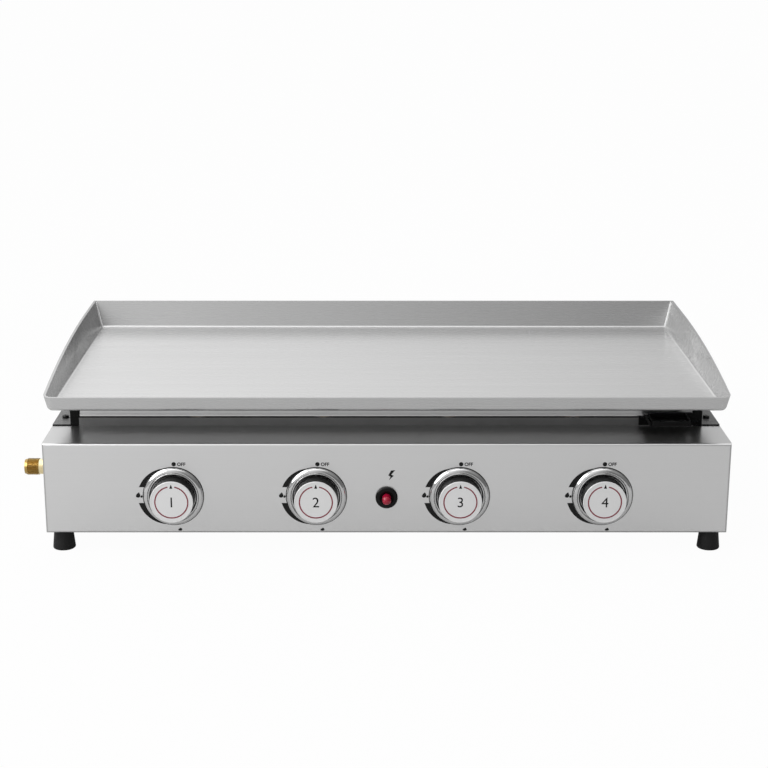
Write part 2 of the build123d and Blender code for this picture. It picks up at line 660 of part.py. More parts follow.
def tap_rotor():
    """Tapered plug that opens the gas way, turned by the stem's tang."""
    front_r = CHAMBER_R - RUNNING_FIT
    rear_r = CHAMBER_R - ROTOR_TAPER - RUNNING_FIT
    rear = ROTOR_REAR - RUNNING_FIT
    plug = turned((0, ROTOR_FRONT), (front_r, ROTOR_FRONT), (rear_r, rear), (0, rear))
    slot_x = TANG_WIDTH / 2 + TANG_GAP
    slot_z = TANG_THICKNESS / 2 + TANG_GAP
    slot = block((-slot_x, slot_x), (ROTOR_FRONT, ROTOR_SLOT_REAR), (-slot_z, slot_z))
    way = rod_x(GAS_WAY_R, (0, CHAMBER_R), MANIFOLD_SETBACK, 0)
    return plug - slot - way - rod_y(GAS_WAY_R, (MANIFOLD_SETBACK, ROTOR_REAR))


def tap_stem():
    """Stem with a flat for the knob, a collar against the cover and a tang in the rotor."""
    shaft = rod_y(STEM_R, (STEM_FRONT, COLLAR_REAR))
    flat = block((-STEM_R, STEM_R), (STEM_FRONT, TAP_SETBACK - SHEET), (STEM_R - STEM_FLAT, STEM_R))
    collar = rod_y(STEM_COLLAR_R, (COLLAR_FRONT, COLLAR_REAR))
    half_width, half_thickness = TANG_WIDTH / 2, TANG_THICKNESS / 2
    tang_y = (COLLAR_REAR, ROTOR_FRONT + TANG_ENTRY)
    tang = block((-half_width, half_width), tang_y, (-half_thickness, half_thickness))
    return shaft - flat + collar + tang


def tap_spring():
    span = (COLLAR_REAR + SPRING_END_GAP, ROTOR_FRONT - SPRING_END_GAP)
    return coil_spring(TAP_SPRING_R, TAP_SPRING_WIRE_R, span, TAP_SPRING_TURNS)


def knob():
    """Hollow knob with a hub that fits the stem's flat."""
    skin = rod_y(KNOB_R, (KNOB_FACE, KNOB_REAR))
    skin = fillet(skin.edges().group_by(Axis.Y)[0], KNOB_EDGE)
    skin -= rod_y(KNOB_R - KNOB_WALL, (KNOB_FACE + KNOB_WALL, KNOB_REAR))
    skin += rod_y(HUB_R, (KNOB_FACE, HUB_REAR))
    bore_r = STEM_R + RUNNING_FIT
    bore = rod_y(bore_r, (STEM_FRONT - RUNNING_FIT, HUB_REAR))
    bore -= block((-bore_r, bore_r), (KNOB_FACE, HUB_REAR), (STEM_R - STEM_FLAT + RUNNING_FIT, bore_r))
    recess = rod_y(CAP_SPIGOT_R + RUNNING_FIT, (KNOB_FACE, KNOB_FACE + CAP_SPIGOT_LENGTH + RUNNING_FIT))
    return skin - bore - recess


def knob_cap():
    cap = rod_y(CAP_R, (-KNOB_REACH, KNOB_FACE))
    cap = fillet(cap.edges().group_by(Axis.Y)[0], CAP_EDGE)
    cap -= rod_y(CAP_R - CAP_RIM, (-KNOB_REACH, -KNOB_REACH + CAP_RECESS))
    return cap + rod_y(CAP_SPIGOT_R, (KNOB_FACE, KNOB_FACE + CAP_SPIGOT_LENGTH))


def knob_bezel():
    """Pressed ring round a knob: rolled outside, a crease, then a raised lip at the bore."""
    roll_r = BEZEL_R - BEZEL_ROLL
    crease_r = roll_r - BEZEL_SLOPE
    dish = BEZEL_HEIGHT - BEZEL_DISH
    roll = TangentArc((BEZEL_R, 0), (roll_r, -BEZEL_HEIGHT), tangent=(0, -1))
    slope = Line((roll_r, -BEZEL_HEIGHT), (crease_r, -dish))
    middle_r = (crease_r + BEZEL_BORE_R) / 2
    lip = ThreePointArc((crease_r, -dish), (middle_r, -dish - BEZEL_LIP), (BEZEL_BORE_R, -dish))
    rest = Polyline((BEZEL_BORE_R, -dish), (BEZEL_BORE_R, 0), (BEZEL_R, 0))
    return revolve(make_face(roll + slope + lip + rest), Axis.Y)


# Burners

def burner():
    """Tube burner: flared mouth, port slots along both shoulders, closed end with a spigot."""
    neck = BURNER_FRONT + BURNER_MOUTH_LENGTH
    tube = turned(
        (0, BURNER_FRONT), (BURNER_MOUTH_R, BURNER_FRONT), (BURNER_R, neck), (BURNER_R, BURNER_REAR),
        (BURNER_SPIGOT_R, BURNER_REAR), (BURNER_SPIGOT_R, BURNER_REAR + BURNER_SPIGOT_LENGTH),
        (0, BURNER_REAR + BURNER_SPIGOT_LENGTH),
    )
    bore_r = BURNER_R - BURNER_WALL
    bore = turned(
        (0, BURNER_FRONT), (BURNER_MOUTH_R - BURNER_WALL, BURNER_FRONT), (bore_r, neck),
        (bore_r, BURNER_REAR - BURNER_WALL), (0, BURNER_REAR - BURNER_WALL),
    )
    cut = Pos(0, 0, BURNER_R) * Box(PORT_DEPTH * 2, PORT_WIDTH, PORT_DEPTH)
    first = RAIL_FRONT + PORT_START
    pitch = (BURNER_REAR - PORT_END - first) / (PORT_COUNT - 1)
    slots = [
        Rot(0, side * PORT_ANGLE, 0) * Pos(0, first + pitch * k, 0) * cut
        for side in (-1, 1) for k in range(PORT_COUNT)
    ]
    return tube - bore - slots


def burner_bracket():
    """Rear support that takes every burner's spigot."""
    x = KNOB_XS[-1] + BRACKET_OVERHANG
    y = (BRACKET_FRONT, BRACKET_FRONT + BRACKET_SHEET)
    web = block((-x, x), y, (BASE_TOP, KNOB_Z + BRACKET_RISE))
    flange = block((-x, x), (y[0], y[0] + BRACKET_FLANGE), (BASE_TOP, BASE_TOP + BRACKET_SHEET))
    through = (BURNER_REAR, BRACKET_FRONT + BRACKET_FLANGE)
    holes = [rod_y(BURNER_SPIGOT_R + BURNER_HOLE_GAP, through, x_hole, KNOB_Z) for x_hole in KNOB_XS]
    return web + flange - holes


def carry_over_channel():
    """Inverted channel that passes the flame from burner to burner."""
    x = KNOB_XS[-1] + CARRY_OVERHANG
    under = KNOB_Z + BURNER_R + FIT
    half = CARRY_WIDTH / 2
    inner = half - CARRY_SHEET
    channel = block((-x, x), (CARRY_SETBACK - half, CARRY_SETBACK + half), (under, under + CARRY_HEIGHT))
    hollow_z = (under - CARRY_SHEET, under + CARRY_HEIGHT - CARRY_SHEET)
    return channel - block((-x, x), (CARRY_SETBACK - inner, CARRY_SETBACK + inner), hollow_z)


# Igniter

def igniter_body():
    """Threaded igniter body with a dished front flange and a terminal at the back."""
    bore_r = BUTTON_R + RUNNING_FIT
    wide_r = BUTTON_FOOT_R + RUNNING_FIT
    step = BUTTON_REAR - BUTTON_FOOT - STEM_REST_GAP
    body = turned(
        (bore_r, IGNITER_DISH_DEPTH - IGNITER_FLANGE), (IGNITER_DISH_R, -IGNITER_FLANGE),
        (IGNITER_FLANGE_R - SHEET, -IGNITER_FLANGE), (IGNITER_FLANGE_R, SHEET - IGNITER_FLANGE),
        (IGNITER_FLANGE_R, 0), (IGNITER_R, 0), (IGNITER_R, IGNITER_LENGTH), (TERMINAL_R, IGNITER_LENGTH),
        (TERMINAL_R, IGNITER_TIP), (0, IGNITER_TIP), (0, IGNITER_BORE_REAR), (wide_r, IGNITER_BORE_REAR),
        (wide_r, step), (bore_r, step),
    )
    return body


def igniter_nut():
    nut = hex_bar_y(IGNITER_NUT_FLATS, (SHEET, SHEET + IGNITER_NUT))
    return nut - rod_y(IGNITER_R + SCREW_GAP, (0, IGNITER_LENGTH))


def igniter_button():
    """Domed push button with a foot that keeps it in the body."""
    shoulder = BUTTON_DOME - BUTTON_REACH
    dome = TangentArc((0, -BUTTON_REACH), (BUTTON_R, shoulder), tangent=(1, 0))
    foot = BUTTON_REAR - BUTTON_FOOT
    rest = Polyline(
        (BUTTON_R, shoulder), (BUTTON_R, foot), (BUTTON_FOOT_R, foot),
        (BUTTON_FOOT_R, BUTTON_REAR), (0, BUTTON_REAR), (0, -BUTTON_REACH),
    )
    return revolve(make_face(dome + rest), Axis.Y)


def igniter_spring():
    span = (BUTTON_REAR + SPRING_END_GAP, IGNITER_BORE_REAR - SPRING_END_GAP)
    return coil_spring(BUTTON_SPRING_R, BUTTON_SPRING_WIRE_R, span, BUTTON_SPRING_TURNS)


def electrode():
    """Ceramic electrode through the baffle, with its wire tip beside a burner."""
    end = ELECTRODE_REAR + ELECTRODE_LENGTH
    ceramic = rod_y(ELECTRODE_R, (ELECTRODE_REAR, end))
    return ceramic + rod_y(ELECTRODE_TIP_R, (end, end + ELECTRODE_TIP_LENGTH))


def ignition_lead():
    """Lead from the igniter's terminal to the electrode, with two bends."""
    start, end = (0.0, IGNITER_TIP), (ELECTRODE_X, ELECTRODE_REAR)
    middle = (start[1] + end[1]) / 2
    bend = min(LEAD_BEND, (end[1] - start[1]) / 2 - LEAD_R)
    corners = FilletPolyline(start, (start[0], middle), (end[0], middle), end, radius=bend)
    return sweep(Plane(origin=(*start, 0), z_dir=(0, 1, 0)) * Circle(LEAD_R), path=corners)


def at_axis(x, shape, z=KNOB_Z):
    """Puts a piece made about the Y axis on a knob or igniter axis."""
    return Pos(x, 0, z) * shape


def nodes():
    """Every piece by its node's name, in the modelling frame."""
    left_side, left_rail = left_side_panel(), left_support_rail()
    rail_screw, foot_screw = pan_screw(RAIL_SCREW_LENGTH), pan_screw(FOOT_SCREW_LENGTH)
    foot, jet, bezel = rubber_foot(), gas_jet(), knob_bezel()
    pieces = {
        "front_panel": front_panel(),
        "left_side_panel": left_side,
        "right_side_panel": mirror(left_side, about=Plane.YZ),
        "rear_panel": rear_panel(),
        "base_panel": base_panel(),
        "front_baffle": front_baffle(),
        "rubber_feet": group(Pos(x, y, 0) * foot for x, y in foot_places()),
        "foot_screws": group(Pos(x, y, BASE_TOP) * foot_screw for x, y in foot_places()),
        "left_support_rail": left_rail,
        "right_support_rail": mirror(left_rail, about=Plane.YZ),
        "rail_screws": group(Pos(x, y, BODY_TOP + RAIL_SHEET) * rail_screw for x, y in rail_screw_places()),
        "griddle_plate": griddle_plate(),
        "front_stiffener": front_stiffener(),
        "rear_stiffener": rear_stiffener(),
        "locating_pegs": group(locating_peg(x, y) for x, y in peg_places()),
        "grease_tray": grease_tray(),
        "tray_shelf": tray_shelf(),
        "manifold": manifold(),
        "manifold_clips": group(manifold_clip(side * KNOB_PITCH) for side in (-1, 1)),
        "inlet_fitting": inlet_fitting(),
        "inlet_nut": inlet_nut(),
        "gas_jets": group(at_axis(x, jet) for x in KNOB_XS),
        "knob_bezels": group(at_axis(x, bezel) for x in KNOB_XS),
        "burner_bracket": burner_bracket(),
        "carry_over_channel": carry_over_channel(),
        "igniter_body": at_axis(0, igniter_body(), IGNITER_Z),
        "igniter_nut": at_axis(0, igniter_nut(), IGNITER_Z),
        "igniter_button": at_axis(0, igniter_button(), IGNITER_Z),
        "igniter_spring": at_axis(0, igniter_spring(), IGNITER_Z),
        "electrode": at_axis(ELECTRODE_X, electrode(), IGNITER_Z),
        "ignition_lead": at_axis(0, ignition_lead(), IGNITER_Z),
    }
    per_burner = {
        "tap_body": tap_body(),
        "tap_rotor": tap_rotor(),
        "tap_stem": tap_stem(),
        "tap_spring": tap_spring(),
        "knob": knob(),
        "knob_cap": knob_cap(),
        "burner": burner(),
    }
    for name, shape in per_burner.items():
        for number, x in enumerate(KNOB_XS, start=1):
            pieces[f"{name}_{number}"] = at_axis(x, shape)
    return pieces


os.makedirs("parts", exist_ok=True)
for name, shape in nodes().items():
    export_step(Pos(-CENTRE_X, -CENTRE_Y, 0) * shape, f"parts/{name}.step")
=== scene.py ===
import json
import math

import bmesh
import bpy
from mathutils import Matrix, Vector


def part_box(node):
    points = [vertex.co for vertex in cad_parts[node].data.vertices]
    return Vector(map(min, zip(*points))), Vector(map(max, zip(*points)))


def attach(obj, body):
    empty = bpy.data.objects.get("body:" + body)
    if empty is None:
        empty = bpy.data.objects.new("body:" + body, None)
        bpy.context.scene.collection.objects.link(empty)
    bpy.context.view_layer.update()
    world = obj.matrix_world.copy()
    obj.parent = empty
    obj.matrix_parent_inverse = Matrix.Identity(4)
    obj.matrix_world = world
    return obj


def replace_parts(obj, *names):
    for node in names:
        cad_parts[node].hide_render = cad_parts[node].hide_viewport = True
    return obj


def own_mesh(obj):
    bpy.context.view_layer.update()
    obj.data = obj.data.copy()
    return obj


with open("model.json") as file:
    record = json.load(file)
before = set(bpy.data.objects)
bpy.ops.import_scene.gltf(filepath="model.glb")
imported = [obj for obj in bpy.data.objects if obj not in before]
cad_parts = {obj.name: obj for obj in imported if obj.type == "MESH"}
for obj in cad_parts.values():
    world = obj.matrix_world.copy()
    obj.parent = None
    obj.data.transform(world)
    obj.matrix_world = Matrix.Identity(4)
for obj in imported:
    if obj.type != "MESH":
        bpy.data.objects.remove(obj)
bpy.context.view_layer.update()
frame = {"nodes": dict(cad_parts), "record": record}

# Looks of a four-burner table-top gas griddle. Lengths named here are millimetres, and MM turns them into metres.
MM = 0.001

# Camera: the photograph's square frame, focal length and optical axis's column, and its place from the front panel
FRAME_PX = 768
FOCAL_PX = 1650
AXIS_COLUMN_PX = 367
SENSOR = 36.0
CAMERA_FROM_PANEL = (-22.9, -1819.7)
CAMERA_HEIGHT = 719.06
CAMERA_PITCH = 15.715

# Floor: its paint, and the shares of plain white in it as the camera and as metal see it
FLOOR_HALF = 40000.0
FLOOR_DROP = 0.2
FLOOR_PAINT = 0.5
FLOOR_SEEN_WHITE = 0.97
FLOOR_MIRRORED_WHITE = 0.12

# Room: how bright each side is, and the parts of a unit direction between which one side runs into the next
BACK_LEFT, BACK_RIGHT = 2.2, 1.25
FRONT_LEFT, FRONT_RIGHT = 1.0, 0.2
LEFT_TO_RIGHT = (-0.3, 0.3)
FRONT_TO_BACK = (0.3, 0.92)
BACKDROP = 0.33
BACKDROP_TO_BACK = (0.28, 0.5)
LEFT_WING = 0.5
WING_TO_MIDDLE = (-0.7, -0.2)
CEILING = 0.2
WALLS_TO_CEILING = (0.35, 0.75)
OVERHEAD = 0.9
CEILING_TO_OVERHEAD = (0.84, 0.92)

# Key lamp, with its power in watts
KEY_PLACE = (-2000.0, -1200.0, 1600.0)
KEY_AIM = (0.0, 0.0, 100.0)
KEY_SIZE = 1800.0
KEY_POWER = 50.0

# Grain of brushed sheet, in lines to a metre, and how far it moves the roughness
LINES_ALONG = 5.0
BANDS_ACROSS, BANDS_ALONG = 45.0, 1.5
LINE_SHARE = 0.65
BRUSHED_SWING = 0.012

# Grain of even surfaces: grains to a patch, and the share by which patches differ in roughness
PATCH_GRAINS = 18
PATCH_SWING = 0.15

# Rings of a turned disc, counted across its whole box, and how they move its roughness and its surface
RINGS = 160.0
RING_SWING = 0.05
RING_DEPTH = 0.01

# Tints of a heated burner, each at its level of the noise, and the patches and the grain to a metre
HEAT_TINTS = {0.35: (0.42, 0.41, 0.40), 0.5: (0.45, 0.36, 0.26), 0.62: (0.30, 0.27, 0.33), 0.72: (0.40, 0.39, 0.38)}
HEAT_PATCHES = (30.0, 14.0, 60.0)
BURNER_GRAIN = 900.0
BURNER_DEPTH = 0.02

# Levels of a noise that most of it lies between
NOISE_SPAN = (0.3, 0.7)

# Shares of a direction between which a face turns from upright to level, and a sheet from flat to bent
UPRIGHT_TO_LEVEL = (0.6, 0.95)
FLAT_TO_BENT = (0.0, 0.2)

# Edges shallower than this are shaded soft
SMOOTH_ANGLE = 35.0

# Printed marks round each knob, from its axis
INK = 0.06
MARK_STEPS = 40
OFF_DOT_PLACE = (1.5, 39.2)
OFF_DOT_R = 2.6
OFF_WORD_PLACE = (5.4, 37.0)
OFF_WORD_HEIGHT = 4.3
OFF_WORD_WEIGHT = 0.035
SCALE_INNER_R = 35.82
SCALE_OUTER_R = 41.9
SCALE_TAPER = 1.5
UPPER_TIP_ANGLE, LOWER_TIP_ANGLE = 110.0, 105.0
UPPER_END_RISE, LOWER_END_RISE = 11.0, 8.5
FLAME_PLACE = (-41.2, 1.4)
FLAME_WIDTH = 5.2
FLAME_HEIGHT = 6.6
FLAME_LEAN = 0.3
SMALL_FLAME_PLACE = (-37.3, -0.3)
SMALL_FLAME_SHARE = 0.52
LOW_MARK_PLACE = (6.8, -41.1)
LOW_MARK_WIDTH = 4.8
LOW_MARK_HEIGHT = 3.8

# Spark sign over the igniter, from its axis
BOLT_OUTLINE = [(10.0, 33.4), (5.0, 32.9), (1.9, 26.9), (4.6, 25.2), (2.4, 21.0), (8.2, 26.4), (5.4, 27.9)]

# Printing on the knob caps
RING_R = 19.0
RING_LINE = 1.5
RING_GAP_ANGLE = 12.0
RING_STEPS = 3 * MARK_STEPS
POINTER_WIDTH = 3.6
POINTER_HEIGHT = 5.0
POINTER_R = 16.8
NUMBER_HEIGHT = 12.0
CAP_RECESS = 0.2

# Thin black ring round each bezel, painted shade standing in for its contact shadow, and the black sleeve inside it
SHADE_RING_R = 35.8
SHADE_RING_INNER_R = 35.12
SHADE_RING_THICKNESS = 0.25
SLEEVE_R = 26.75
SLEEVE_WALL = 0.25
SLEEVE_SETBACK = 1.6

# Griddle plate's rims and back corners
RIM_OVER_FLOOR = 14.0
WALL_LEAN = 14.4
WALL_HEIGHT = 34.5
PLATE_SHEET = 3.0
WELD_R = 1.3
WELD_PROUD = 0.5
WELD_TOP_GAP = 0.8
WELD_PITCH = 2.2
WELD_RIPPLE = 0.7
WELD_STEPS = 6
WELD_SIDES = 14

# Kicked-out lower edge of the strip under the plate's front
HEM_HEIGHT = 1.6
HEM_PROUD = 0.4
HEM_DEPTH = 0.6
HEM_CLEARANCE = 2.0
HEM_SMOOTH_ANGLE = 10.0

# Return springs of the taps and the igniter
SPRING_WIRE_R = 0.5
SPRING_TURNS = 4
SPRING_STEPS = 28
SPRING_SIDES = 10

# Brass inlet
THREAD_PITCH = 1.4
THREAD_DEPTH = 0.9
THREAD_LENGTH = 14.0
THREAD_R = 10.0
THREAD_STEPS = 8
TIP_LENGTH = 3.0
TIP_R = 8.5
NECK_R = 9.0
NECK_LENGTH = 11.3
SHANK_R = 8.0
SPIGOT_R = 6.45
SPIGOT_LENGTH = 15.0
BORE_R = 5.0
INLET_STEPS = 72

# Cross recess of the rail screws
RECESS_LENGTH = 4.6
RECESS_WIDTH = 1.1
RECESS_DEPTH = 1.4
RECESS_ANGLES = (20.0, 110.0)
SAME_POINT = 0.001

KNOB_CAPS = sorted(name for name in frame["nodes"] if name.startswith("knob_cap_"))


# Finishes

def grey(level):
    return (level, level, level)


class Graph:
    """A node tree being wired."""

    def __init__(self, tree):
        self.nodes, self.links = tree.nodes, tree.links

    def add(self, kind, **settings):
        node = self.nodes.new(kind)
        for name, value in settings.items():
            setattr(node, name, value)
        return node

    def feed(self, socket, value):
        """Sets a value on a socket, or links another node's output to it."""
        if isinstance(value, bpy.types.NodeSocket):
            self.links.new(value, socket)
        else:
            socket.default_value = value

    def math(self, operation, *values):
        node = self.add("ShaderNodeMath", operation=operation)
        for socket, value in zip(node.inputs, values):
            self.feed(socket, value)
        return node.outputs["Value"]

    def span(self, factor, low, high, between=NOISE_SPAN):
        """A factor between two levels turned into a number from low to high, and held there beyond."""
        node = self.add("ShaderNodeMapRange")
        for socket, value in zip(("From Min", "From Max", "To Min", "To Max"), (*between, low, high)):
            node.inputs[socket].default_value = value
        self.links.new(factor, node.inputs["Value"])
        return node.outputs["Result"]

    def axes(self, vector):
        """The three parts of a vector."""
        node = self.add("ShaderNodeSeparateXYZ")
        self.links.new(vector, node.inputs["Vector"])
        return [node.outputs[axis] for axis in "XYZ"]

    def mix_shaders(self, share, first, second):
        mix = self.add("ShaderNodeMixShader")
        for socket, value in zip(mix.inputs, (share, first, second)):
            self.links.new(value, socket)
        return mix.outputs["Shader"]


class Finish(Graph):
    """A procedural material: one surface shader and the textures that vary it over the surface."""

    def __init__(self, name, **sockets):
        self.material = bpy.data.materials.new(name)
        self.material.use_nodes = True
        super().__init__(self.material.node_tree)
        self.shader = self.nodes["Principled BSDF"]
        for socket, value in sockets.items():
            self.shader.inputs[socket.replace("_", " ").title().replace("Ior", "IOR")].default_value = value

    def place(self, stretch, source="Object"):
        """Position on the surface, stretched along each axis."""
        coordinates = self.add("ShaderNodeTexCoord")
        mapping = self.add("ShaderNodeMapping")
        mapping.inputs["Scale"].default_value = stretch
        self.links.new(coordinates.outputs[source], mapping.inputs["Vector"])
        return mapping.outputs["Vector"]

    def noise_at(self, vector, detail=2.0, roughness=0.5):
        """Noise with one grain to each unit of a vector."""
        texture = self.add("ShaderNodeTexNoise")
        texture.inputs["Scale"].default_value = 1.0
        texture.inputs["Detail"].default_value = detail
        texture.inputs["Roughness"].default_value = roughness
        self.links.new(vector, texture.inputs["Vector"])
        return texture.outputs["Fac"]

    def noise(self, stretch, **settings):
        """Noise with that many grains to a metre along each axis."""
        return self.noise_at(self.place(stretch), **settings)

    def mix_colours(self, factor, first, second):
        """Colour between two, each a plain one or another node's."""
        node = self.add("ShaderNodeMix", data_type="RGBA")
        sockets = [socket for socket in node.inputs if socket.enabled]
        for socket, value in zip(sockets, (factor, first, second)):
            self.feed(socket, value)
        return next(socket for socket in node.outputs if socket.enabled)

    def tint(self, factor, dark, light):
        """Base colour between two colours."""
        self.feed(self.shader.inputs["Base Color"], self.mix_colours(factor, (*dark, 1), (*light, 1)))

    def overlay(self, factor, colour):
        """Lays a colour over the base colour where the factor says."""
        base = self.shader.inputs["Base Color"]
        self.feed(base, self.mix_colours(factor, base.links[0].from_socket, (*colour, 1)))

    def rough(self, factor, middle, swing):
        self.links.new(self.span(factor, middle - swing, middle + swing), self.shader.inputs["Roughness"])

    def relief(self, height, depth):
        """Bump of that depth, in millimetres."""
        node = self.add("ShaderNodeBump")
        node.inputs["Strength"].default_value = 1.0
        node.inputs["Distance"].default_value = depth * MM
        self.links.new(height, node.inputs["Height"])
        self.links.new(node.outputs["Normal"], self.shader.inputs["Normal"])

    def facing(self):
        """Parts of the surface's direction across, back and up."""
        return self.axes(self.add("ShaderNodeNewGeometry").outputs["Normal"])

    def on_folds(self):
        """1 halfway round the lower and outer bends of a sheet, and 0 on its flat faces."""
        across, _, up = self.facing()
        down = self.math("MAXIMUM", self.math("MULTIPLY", up, -1.0), 0.0)
        turned = self.math("ADD", self.math("POWER", across, 2.0), self.math("POWER", down, 2.0))
        bend = self.math("MULTIPLY", turned, self.math("SUBTRACT", 1.0, turned))
        return self.span(bend, 0.0, 1.0, FLAT_TO_BENT)

    def on_level(self, side):
        """1 on level faces that look up, for a side of 1, or down, for -1, and 0 on upright ones."""
        return self.span(self.math("MULTIPLY", self.facing()[2], side), 0.0, 1.0, UPRIGHT_TO_LEVEL)

    def above(self, height):
        """1 over that height, and 0 under it."""
        up = self.axes(self.add("ShaderNodeTexCoord").outputs["Object"])[2]
        return self.math("GREATER_THAN", up, height)

    def brush_blur(self, along):
        """Spreads reflections across lines brushed along one axis."""
        tangent = self.add("ShaderNodeTangent", direction_type="RADIAL", axis=along)
        self.links.new(tangent.outputs["Tangent"], self.shader.inputs["Tangent"])


def brushed(name, along, dark, light, roughness, grain=2200.0, depth=0.0015, blur=0.75, painted_fold_shade=None, top=None,
            painted_top_shade_over=0.0):
    """Sheet steel brushed along one axis, with fine lines and slow, soft bands; where asked, painted shade on its
    lower and outer folds and on its level tops over a height.
    """
    finish = Finish(name, metallic=1.0, anisotropic=blur)
    finish.brush_blur(along)
    fine = finish.noise([LINES_ALONG if axis == along else grain for axis in "XYZ"], detail=3.0, roughness=0.6)
    broad = finish.noise([BANDS_ALONG if axis == along else BANDS_ACROSS for axis in "XYZ"])
    shares = finish.math("MULTIPLY", fine, LINE_SHARE), finish.math("MULTIPLY", broad, 1 - LINE_SHARE)
    both = finish.math("ADD", *shares)
    finish.tint(finish.span(both, 0.0, 1.0), dark, light)
    finish.rough(both, roughness, BRUSHED_SWING)
    finish.relief(fine, depth)
    # Painted shade: a darker colour laid halfway round the lower and outer bends
    if painted_fold_shade:
        finish.overlay(finish.on_folds(), painted_fold_shade)
    # Painted shade: a darker colour laid on level faces that look up, over a height
    if top:
        finish.overlay(finish.math("MULTIPLY", finish.on_level(1.0), finish.above(painted_top_shade_over)), top)
    return finish.material


def cast(name, dark, light, roughness, grain, depth, metallic=0.0, top=None, under=None, **sockets):
    """Even surface with a fine grain: enamel, rubber, plastic, cast or plated metal; where asked, a painted
    reflection on its level tops and painted light on its undersides.
    """
    finish = Finish(name, metallic=metallic, **sockets)
    fine = finish.noise([grain] * 3, detail=3.0)
    broad = finish.noise([grain / PATCH_GRAINS] * 3)
    finish.tint(finish.span(broad, 0.0, 1.0), dark, light)
    finish.rough(broad, roughness, roughness * PATCH_SWING)
    finish.relief(fine, depth)
    # Painted reflection: a lighter colour laid on level faces that look up, broken up by the grain
    if top:
        finish.overlay(finish.math("MULTIPLY", finish.on_level(1.0), finish.span(fine, 0.0, 1.0)), top)
    # Painted light: a lighter colour laid on faces that look down
    if under:
        finish.overlay(finish.on_level(-1.0), under)
    return finish.material


def spun(name, dark, light, roughness, metallic):
    """Disc finished on a lathe, with fine rings about its middle."""
    finish = Finish(name, metallic=metallic)
    across = finish.add("ShaderNodeVectorMath", operation="SUBTRACT")
    across.inputs[1].default_value = (0.5, 0.0, 0.5)
    finish.links.new(finish.place((1.0, 0.0, 1.0), "Generated"), across.inputs[0])
    radius = finish.add("ShaderNodeVectorMath", operation="LENGTH")
    finish.links.new(across.outputs["Vector"], radius.inputs[0])
    rings = finish.noise_at(finish.math("MULTIPLY", radius.outputs["Value"], RINGS), detail=3.0)
    finish.tint(finish.span(rings, 0.0, 1.0), dark, light)
    finish.rough(rings, roughness, RING_SWING)
    finish.relief(rings, RING_DEPTH)
    return finish.material


def heat_tinted(name, roughness, swing):
    """Burner tube: plain steel that has gone straw and blue along its ports."""
    finish = Finish(name, metallic=1.0)
    patches = finish.noise(HEAT_PATCHES, detail=4.0)
    ramp = finish.add("ShaderNodeValToRGB")
    stops = ramp.color_ramp.elements
    stops.remove(stops[1])
    (stops[0].position, first), *others = HEAT_TINTS.items()
    stops[0].color = (*first, 1)
    for level, colour in others:
        stops.new(level).color = (*colour, 1)
    finish.links.new(patches, ramp.inputs["Fac"])
    finish.links.new(ramp.outputs["Color"], finish.shader.inputs["Base Color"])
    finish.rough(patches, roughness, swing)
    finish.relief(finish.noise([BURNER_GRAIN] * 3), BURNER_DEPTH)
    return finish.material


finishes = {
    # Casing steel, with painted shade on its lower and outer folds and on its level tops
    "brushed_stainless": brushed(
        "brushed_stainless", "X", grey(0.735), grey(0.755), roughness=0.3, blur=0.2, painted_fold_shade=grey(0.45), top=grey(0.56)
    ),
    # Plate steel, with painted shade on the level tops of its rims
    "plate_stainless": brushed(
        "plate_stainless", "X", grey(0.58), grey(0.595), roughness=0.27, grain=2600.0, depth=0.0004, top=grey(0.38),
        painted_top_shade_over=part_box("griddle_plate")[0].z + RIM_OVER_FLOOR * MM,
    ),
    "plain_steel": brushed("plain_steel", "X", grey(0.42), grey(0.54), roughness=0.30, grain=900.0),
    "burner_steel": heat_tinted("burner_steel", roughness=0.4, swing=0.1),
    "dark_steel": cast(
        "dark_steel", grey(0.18), grey(0.21), roughness=0.38, grain=600.0, depth=0.02, metallic=1.0
    ),
    # Black enamel, with a painted sky reflection in grey on its level tops
    "black_enamel": cast(
        "black_enamel", grey(0.003), grey(0.006), roughness=0.24, grain=1400.0, depth=0.14, top=grey(0.3),
        specular_ior_level=0.12,
    ),
    "black_screw": cast(
        "black_screw", grey(0.01), grey(0.02), roughness=0.34, grain=900.0, depth=0.02, metallic=0.6
    ),
    "chrome": cast("chrome", grey(0.60), grey(0.66), roughness=0.11, grain=350.0, depth=0.003, metallic=1.0),
    "brass": cast(
        "brass", (0.36, 0.24, 0.07), (0.52, 0.36, 0.13), roughness=0.34, grain=700.0, depth=0.01, metallic=1.0
    ),
    "tap_metal": cast("tap_metal", grey(0.42), grey(0.54), roughness=0.42, grain=900.0, depth=0.05, metallic=1.0),
    "stem_steel": cast("stem_steel", grey(0.46), grey(0.58), roughness=0.25, grain=900.0, depth=0.01, metallic=1.0),
    "knob_black": cast(
        "knob_black", grey(0.003), grey(0.005), roughness=0.45, grain=900.0, depth=0.006, specular_ior_level=0.2
    ),
    "cap_silver": spun("cap_silver", grey(0.72), grey(0.77), roughness=0.42, metallic=0.2),
    "button_red": cast(
        "button_red", (0.30, 0.003, 0.024), (0.36, 0.004, 0.034), roughness=0.3, grain=900.0, depth=0.004
    ),
    "rubber_black": cast(
        "rubber_black", grey(0.004), grey(0.008), roughness=0.55, grain=1100.0, depth=0.05, specular_ior_level=0.3
    ),
    "ceramic": cast("ceramic", (0.74, 0.72, 0.66), (0.82, 0.80, 0.75), roughness=0.30, grain=700.0, depth=0.01),
    "lead_sleeve": cast(
        "lead_sleeve", (0.14, 0.02, 0.012), (0.20, 0.03, 0.02), roughness=0.5, grain=1500.0, depth=0.04
    ),
}
side_steel = brushed("side_stainless", "Y", grey(0.735), grey(0.755), roughness=0.27, blur=0.5)
strip_steel = brushed("strip_stainless", "X", grey(0.70), grey(0.73), roughness=0.3, blur=0.5)
